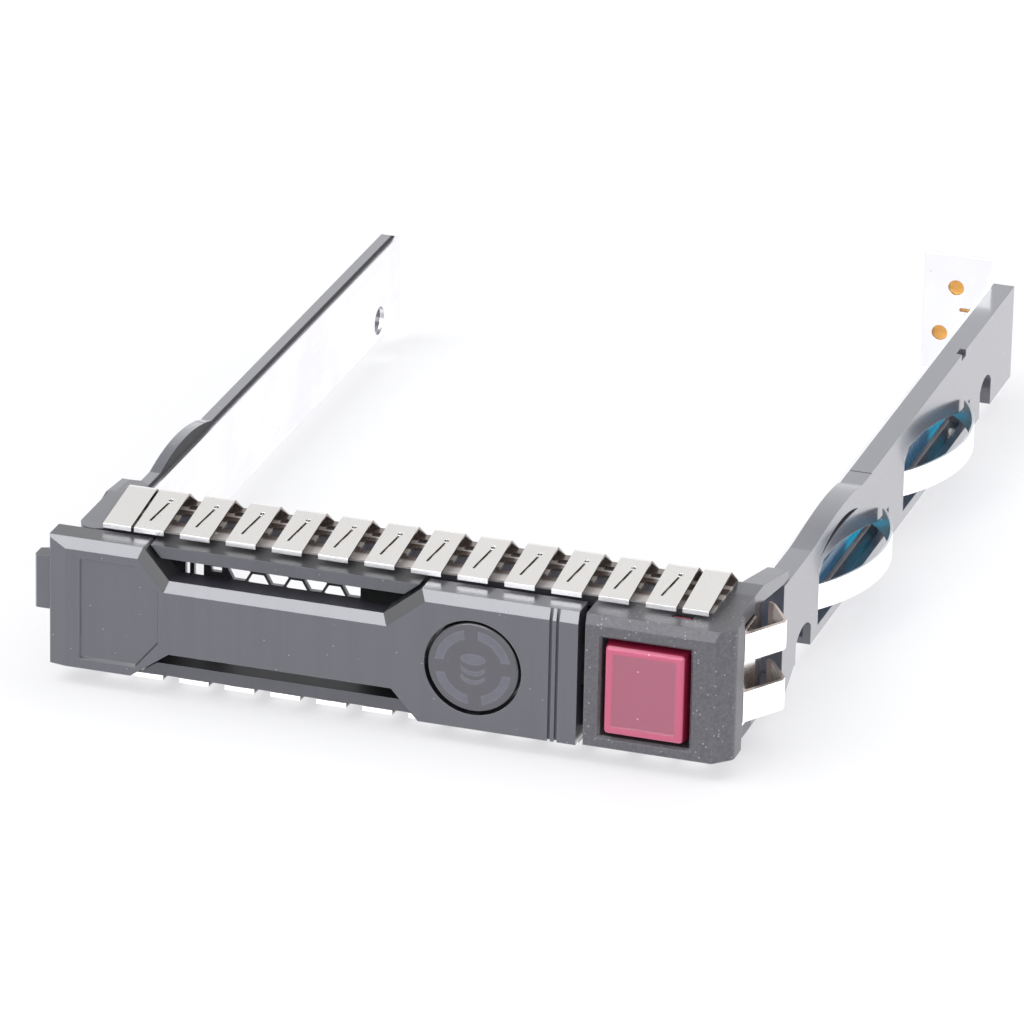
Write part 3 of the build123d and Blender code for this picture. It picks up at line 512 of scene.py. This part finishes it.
class CADDY_OT_button(bpy.types.Operator):
    """Finishes the release button in tinted, slightly scattering plastic"""

    bl_idname = "caddy.button"
    bl_label = "Release button"

    def execute(self, context):
        colour = tuple(context.scene.caddy_looks.button)
        finish = Finish("tinted button", IOR=1.5, Subsurface_Weight=0.35, Subsurface_Scale=0.0015,
                        Subsurface_Radius=(1.0, 0.25, 0.35), Coat_Roughness=0.12)
        cloud = finish.noise(260, 3, 0.55)
        specks = finish.dust(900, 0.12, 0.18)
        edge_highlight = finish.edges(0.45)
        across = (finish.axis("X") / MM + (ORIGIN_X - BUTTON_X)).size()
        up = (finish.axis("Z") / MM + (ORIGIN_Z - BUTTON_Z)).size()
        # The face's border gets a painted highlight.
        border_highlight = finish.band(across, 3.4, 3.7).highest(finish.band(up, 4.1, 4.4))
        flat = finish.mix(cloud * 0.35, colour, tuple(c * 0.9 for c in colour))
        flat = finish.mix(border_highlight, flat, (0.56, 0.10, 0.20))
        # Painted highlight along the edges.
        body = finish.mix(edge_highlight * 0.7, flat, (0.62, 0.12, 0.22))
        # Painted shade: the faces that do not look forward go dark red.
        body = finish.mix(finish.band(finish.facing("Y"), -0.7, -0.35), body, (0.24, 0.008, 0.035))
        finish.set("Base Color", finish.mix(specks * 0.5, body, (0.85, 0.62, 0.64)))
        finish.set("Roughness", 0.28 + cloud * 0.14)
        finish.set("Coat Weight", 0.3 - specks * 0.2)
        finish.set("Normal", finish.bump(cloud, 0.1, 0.04, 0.2))
        wear(finish.material, "release_button")

        details = context.scene.caddy_details
        finish_piece(button_cap(details), finish.material, "release_button")
        rib = block("button_rib", RIB_PLACE, tuple(details.rib))
        soften(rib, 0.12, 2)
        finish_piece(rib, finish.material, "release_button")
        return {"FINISHED"}


def sheet_metal(name, colour, roughness, stretch, radius=0.1):
    """Rolled bright sheet: fine lines one way, cloudy tarnish, small scratches."""
    finish = Finish(name, Metallic=1.0)
    lines = finish.noise(2600, 3, 0.6, stretch)
    cloud = finish.noise(90, 3, 0.6)
    specks = finish.dust(700, 0.10, 0.10)
    scratch = finish.band(finish.noise(900, 2, 0.5, (0.08, 1, 1)), 0.68, 0.74)
    dull = tuple(c * 0.86 for c in colour)
    body = finish.mix(finish.band(cloud, 0.4, 0.75) * 0.5, colour, dull)
    body = finish.mix(lines * 0.25, body, tuple(c * 0.78 for c in colour))
    finish.set("Base Color", finish.mix(specks * 0.5, body, (0.35, 0.33, 0.30)))
    finish.set("Roughness", roughness + lines * 0.10 + cloud * 0.08 + scratch * 0.12)
    finish.set("Normal", finish.bump(lines + scratch * 0.4, 0.12, 0.02, radius))
    return finish.material


class CADDY_OT_fingers(bpy.types.Operator):
    """Finishes the spring finger strips and the bowed springs"""

    bl_idname = "caddy.fingers"
    bl_label = "Spring fingers"

    def execute(self, context):
        colour = tuple(context.scene.caddy_looks.steel)
        finish = Finish("finger steel", Metallic=1.0)
        lines = finish.noise(2600, 3, 0.6, (1, 0.05, 1))
        cloud = finish.noise(110, 3, 0.6)
        specks = finish.dust(700, 0.10, 0.12)
        level = (finish.axis("Z") / MM + (ORIGIN_Z - STRIPS_MIDDLE_Z)).size()
        tent = finish.band(level, 7.86, 7.96)
        upright = finish.band(finish.facing("Z").size(), 0.25, 0.5)
        lip_highlight = finish.band(finish.facing("Y") * -1, 0.7, 0.9)
        body = finish.mix(finish.band(cloud, 0.4, 0.75) * 0.4, colour, tuple(c * 0.88 for c in colour))
        body = finish.mix(lines * 0.2, body, tuple(c * 0.8 for c in colour))
        # Painted shade on the side faces: only faces that look up or down keep the steel colour.
        body = finish.mix(1 - upright, body, (0.20, 0.17, 0.15))
        along = finish.axis("Y") / MM + ORIGIN_Y
        # The base sheet under and between the fingers gets painted shade, darker behind its front strip, with painted
        # highlights along its two ribs.
        rib_highlights = (1 - finish.band((along - 8.9).size(), 0.5, 0.8)) + (1 - finish.band((along - 11.6).size(), 0.35, 0.6))
        sheet = finish.mix(finish.band(along, 6.2, 7.0), (0.50, 0.47, 0.46), (0.13, 0.10, 0.09))
        sheet = finish.mix(rib_highlights, sheet, (0.72, 0.66, 0.61))
        body = finish.mix(1 - tent, body, sheet)
        # Painted highlight: the lips' front faces go near white.
        body = finish.mix(lip_highlight * tent, body, (0.96, 0.96, 0.97))
        finish.set("Base Color", finish.mix(specks * 0.4, body, (0.30, 0.28, 0.26)))
        finish.set("Metallic", 0.15 + tent * 0.85)
        finish.set("Roughness", 0.20 + lines * 0.10 + cloud * 0.08)
        finish.set("Normal", finish.bump(lines, 0.12, 0.02, 0.08))
        wear(finish.material, "shield_top", "shield_bottom")
        # Outward faces get a painted highlight near white. Inward faces get painted shade on the side fingers and a
        # painted bluish reflection on the bowed springs.
        for name, outer_painted_light, inner_painted_light, nodes in (
            ("side finger steel", (0.92, 0.91, 0.89), (0.26, 0.18, 0.14), ("shield_right",)),
            ("bow steel", (0.95, 0.95, 0.95), (0.66, 0.72, 0.76), ("rail_spring_front", "rail_spring_rear")),
        ):
            finish = Finish(name, Metallic=1.0)
            lines = finish.noise(2600, 3, 0.6, (0.05, 0.05, 1))
            outside = finish.band(finish.facing("X"), -0.1, 0.25)
            body = finish.mix(outside, inner_painted_light, outer_painted_light)
            body = finish.mix(finish.dust(700, 0.10, 0.10) * 0.4, body, (0.30, 0.28, 0.26))
            finish.set("Base Color", body)
            finish.set("Metallic", 0.35 + outside * 0.65)
            finish.set("Roughness", 0.16 + lines * 0.12)
            finish.set("Normal", finish.bump(lines, 0.10, 0.02, 0.08))
            wear(finish.material, *nodes)
        return {"FINISHED"}


class CADDY_OT_plates(bpy.types.Operator):
    """Finishes the stainless side plates, rivets, pin and spring wire"""

    bl_idname = "caddy.plates"
    bl_label = "Side plates"

    def execute(self, context):
        colour = tuple(context.scene.caddy_looks.plate)
        wear(sheet_metal("plate steel", colour, 0.22, (1, 0.04, 1)), "left_plate", "right_plate", "rail_rivets")
        wear(sheet_metal("pin steel", (0.62, 0.61, 0.60), 0.30, (1, 1, 1)), "hinge_pin")
        wire = sheet_metal("spring wire", (0.52, 0.52, 0.53), 0.25, (1, 1, 1), 0.0)
        wear(wire, "lever_spring")
        coil = button_coil(context.scene.caddy_details)
        finish_piece(coil, wire, "carrier")
        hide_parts("button_spring")
        tuple(at(0, COIL_FIXED_END, 0))
        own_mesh(coil)
        return {"FINISHED"}


class CADDY_OT_rails(bpy.types.Operator):
    """Finishes the grey slide rails"""

    bl_idname = "caddy.rails"
    bl_label = "Slide rails"

    def execute(self, context):
        colour = tuple(context.scene.caddy_looks.rail)
        finish = Finish("rail plastic", IOR=1.5, Coat_Roughness=0.06)
        fine = finish.noise(1600, 4, 0.6)
        flow = finish.noise(160, 3, 0.55, (1, 0.15, 1))
        specks = finish.dust(700, 0.12, 0.12)
        edge_highlight = finish.edges(0.2)
        body = finish.mix(finish.band(flow, 0.3, 0.75) * 0.6, colour, tuple(c * 0.84 for c in colour))
        # Painted shade: the left rail's inward faces go near black.
        inner_painted_light = finish.band(finish.facing("X"), 0.6, 0.9) * (1 - finish.band(finish.axis("X"), -0.03, -0.02))
        # Painted highlight along the edges.
        body = finish.mix(edge_highlight * 0.4, body, (0.30, 0.30, 0.33))
        body = finish.mix(inner_painted_light, finish.mix(specks * 0.4, body, (0.5, 0.49, 0.47)), (0.012, 0.011, 0.013))
        finish.set("Base Color", body)
        finish.set("Coat Weight", 0.35 - inner_painted_light * 0.35)
        finish.set("Roughness", 0.13 + fine * 0.10 + inner_painted_light * 0.5)
        finish.set("Normal", finish.bump(fine, 0.08, 0.02, 0.15))
        wear(finish.material, "left_rail", "right_rail")
        return {"FINISHED"}


class CADDY_OT_circuits(bpy.types.Operator):
    """Finishes the flex circuit, the contact board and the small lamps"""

    bl_idname = "caddy.circuits"
    bl_label = "Circuits"

    def execute(self, context):
        looks = context.scene.caddy_looks
        film, track = tuple(looks.film), tuple(looks.track)
        finish = Finish("amber film", IOR=1.55, Coat_Roughness=0.1, Emission_Strength=0.42)
        lines = finish.node("ShaderNodeTexWave", {"wave_type": "BANDS", "bands_direction": "Z"},
                            {"Vector": finish.place, "Scale": 330.0, "Distortion": 0.0})
        along = finish.axis("Y") / MM + ORIGIN_Y
        beside = finish.band(finish.axis("X") / MM + ORIGIN_X, 74.0, 74.2) * (1 - finish.band(along, 114.0, 115.0))
        # Painted highlight: a bright cyan band at the rear of each window.
        bright = finish.band((along - 35.9).repeating(34.5), 18.5, 21.5)
        body = finish.mix(finish.band(lines, 0.45, 0.55) * 0.2, film, tuple(c * 0.7 for c in film))
        blue = finish.mix(bright, track, (0.015, 0.40, 0.62))
        blue = finish.mix(finish.band(lines, 0.4, 0.6) * 0.3, blue, (0.01, 0.06, 0.12))
        body = finish.mix(beside, body, blue)
        finish.set("Base Color", body)
        # Painted glow: the blue part beside the windows glows with the emission strength set above, though it is no
        # lamp.
        finish.set("Emission Color", finish.mix(beside, (0, 0, 0), blue))
        finish.set("Roughness", 0.22 + finish.noise(300, 2) * 0.12)
        finish.set("Normal", finish.bump(lines, 0.15, 0.02))
        wear(finish.material, "flex_circuit")
        finish_piece(flex_film(context.scene.caddy_details), finish.material, "carrier")
        wear(satin("board mask", (0.012, 0.020, 0.018), 0.3), "led_board", "contact_board")
        wear(satin("lamp body", (0.62, 0.62, 0.58), 0.3), "status_lamps")
        wear(satin("guide plastic", (0.35, 0.36, 0.38), 0.15), "light_guide")
        wear(sheet_metal("pad gold", (0.86, 0.60, 0.22), 0.25, (1, 1, 1), 0.0), "contact_pads")
        return {"FINISHED"}


class CADDY_OT_stage(bpy.types.Operator):
    """Lays the pale floor, hangs the soft lights and sets the camera"""

    bl_idname = "caddy.stage"
    bl_label = "Stage"

    def execute(self, context):
        stage = context.scene.caddy_stage
        bpy.ops.object.select_all(action="DESELECT")
        bpy.ops.mesh.primitive_plane_add(size=stage.floor, location=(0, 0, 0))
        floor = context.active_object
        floor.name = "studio_floor"
        finish = Finish("studio floor", Roughness=0.9)
        finish.set("Base Color", (0.86, 0.86, 0.86))
        seen = finish.node("ShaderNodeLightPath", out="Is Camera Ray")
        mirrored = finish.node("ShaderNodeLightPath", out="Is Glossy Ray")
        through = finish.node("ShaderNodeLightPath", out="Is Transmission Ray")
        across, along = finish.axis("X"), finish.axis("Y")
        far = finish.band(across * across + along * along, 0.05, 0.16)
        glow = finish.node("ShaderNodeEmission", None, {"Color": (1, 1, 1.03, 1),
                                                        "Strength": 1.06 + mirrored * (0.45 - far * 1.4)})
        both = finish.node("ShaderNodeMixShader", None, {0: (seen + through) * 0.55 + mirrored * 0.9,
                                                         1: finish.shader.outputs[0], 2: glow})
        output = finish.tree.nodes["Material Output"]
        finish.tree.links.new(both.socket, output.inputs["Surface"])
        floor.data.materials.append(finish.material)

        world = bpy.data.worlds.new("studio")
        world.use_nodes = True
        world.node_tree.nodes.clear()
        sky = Nodes(world.node_tree)
        look = sky.node("ShaderNodeTexCoord", out="Generated")
        height = sky.part(look, "Z")
        ahead = sky.band(sky.part(look, "Y") * -1, 0.1, 0.5)
        soft_box = sky.band(height, 0.07, 0.12) * (1 - sky.band(height, 0.38, 0.50)) * ahead
        low = (1 - sky.band(height, 0.05, 0.09)) * ahead
        rear = sky.band(sky.part(look, "Y"), 0.3, 0.6) * (1 - sky.band(height, 0.45, 0.6))
        seen = sky.node("ShaderNodeLightPath", out="Is Camera Ray")
        mirrored = sky.node("ShaderNodeLightPath", out="Is Glossy Ray")
        strength = seen * 0.5 + mirrored * (soft_box * stage.soft_box + 0.5 + rear * 0.5 - low * 0.9) + 0.5
        glow = sky.node("ShaderNodeBackground", None, {"Color": (0.98, 0.99, 1.0), "Strength": strength})
        out = sky.tree.nodes.new("ShaderNodeOutputWorld")
        sky.tree.links.new(glow.socket, out.inputs["Surface"])
        context.scene.world = world

        for name, place, size, power in (
            ("key", (-0.55, -0.35, 0.95), (0.8, 0.8), 6.0),
            ("top", (0.25, 0.35, 1.1), (1.0, 0.7), 3.5),
            ("front", (0.30, -1.35, 0.42), (1.2, 0.5), 5.0),
            ("right", (1.2, 0.1, 0.45), (0.5, 0.5), 3.0),
        ):
            bpy.ops.object.light_add(type="AREA", location=place)
            lamp = context.active_object
            lamp.name = "lamp_" + name
            lamp.data.shape = "RECTANGLE"
            lamp.data.size, lamp.data.size_y = size
            lamp.data.energy = power
            lamp.rotation_mode = "QUATERNION"
            lamp.rotation_quaternion = (Vector((0, 0, 0.01)) - Vector(place)).to_track_quat("-Z", "Y")

        azimuth, elevation, roll = stage.azimuth, stage.elevation, stage.roll
        back = Vector((math.sin(azimuth) * math.cos(elevation), -math.cos(azimuth) * math.cos(elevation),
                       math.sin(elevation)))
        right = (-back).cross(Vector((0, 0, 1))).normalized()
        up = right.cross(-back)
        right, up = (math.cos(roll) * right + math.sin(roll) * up, -math.sin(roll) * right + math.cos(roll) * up)
        bpy.ops.object.camera_add()
        camera = context.active_object
        camera.name = "photo_camera"
        turn = Matrix((right, up, back)).transposed().to_4x4()
        camera.matrix_world = Matrix.Translation(at(*LOOKED_AT) + back * stage.distance) @ turn
        camera.data.sensor_width = 36.0
        camera.data.lens = stage.lens
        camera.data.clip_start, camera.data.clip_end = 0.01, 20.0
        context.scene.camera = camera
        context.scene.view_settings.view_transform = "Standard"
        return {"FINISHED"}


class CADDY_PT_sidebar(bpy.types.Panel):
    """Lists the caddy's operators and settings"""

    bl_idname = "CADDY_PT_sidebar"
    bl_label = "Drive caddy"
    bl_space_type = "VIEW_3D"
    bl_region_type = "UI"
    bl_category = "Caddy"

    def draw(self, context):
        scene = context.scene
        for group in (scene.caddy_looks, scene.caddy_details, scene.caddy_stage):
            for name in group.__annotations__:
                self.layout.prop(group, name)
        for operator in OPERATORS:
            self.layout.operator(operator.bl_idname)


OPERATORS = (CADDY_OT_stage, CADDY_OT_lever, CADDY_OT_front_block, CADDY_OT_button, CADDY_OT_fingers,
             CADDY_OT_plates, CADDY_OT_rails, CADDY_OT_circuits)
GROUPS = (CaddyLooks, CaddyDetails, CaddyStage)


def register():
    for cls in (*GROUPS, *OPERATORS, CADDY_PT_sidebar):
        bpy.utils.register_class(cls)
    bpy.types.Scene.caddy_looks = PointerProperty(type=CaddyLooks)
    bpy.types.Scene.caddy_details = PointerProperty(type=CaddyDetails)
    bpy.types.Scene.caddy_stage = PointerProperty(type=CaddyStage)


def unregister():
    del bpy.types.Scene.caddy_stage
    del bpy.types.Scene.caddy_details
    del bpy.types.Scene.caddy_looks
    for cls in reversed((*GROUPS, *OPERATORS, CADDY_PT_sidebar)):
        bpy.utils.unregister_class(cls)


def main():
    register()
    for operator in OPERATORS:
        group, name = operator.bl_idname.split(".")
        getattr(getattr(bpy.ops, group), name)()


if __name__ == "__main__":
    main()
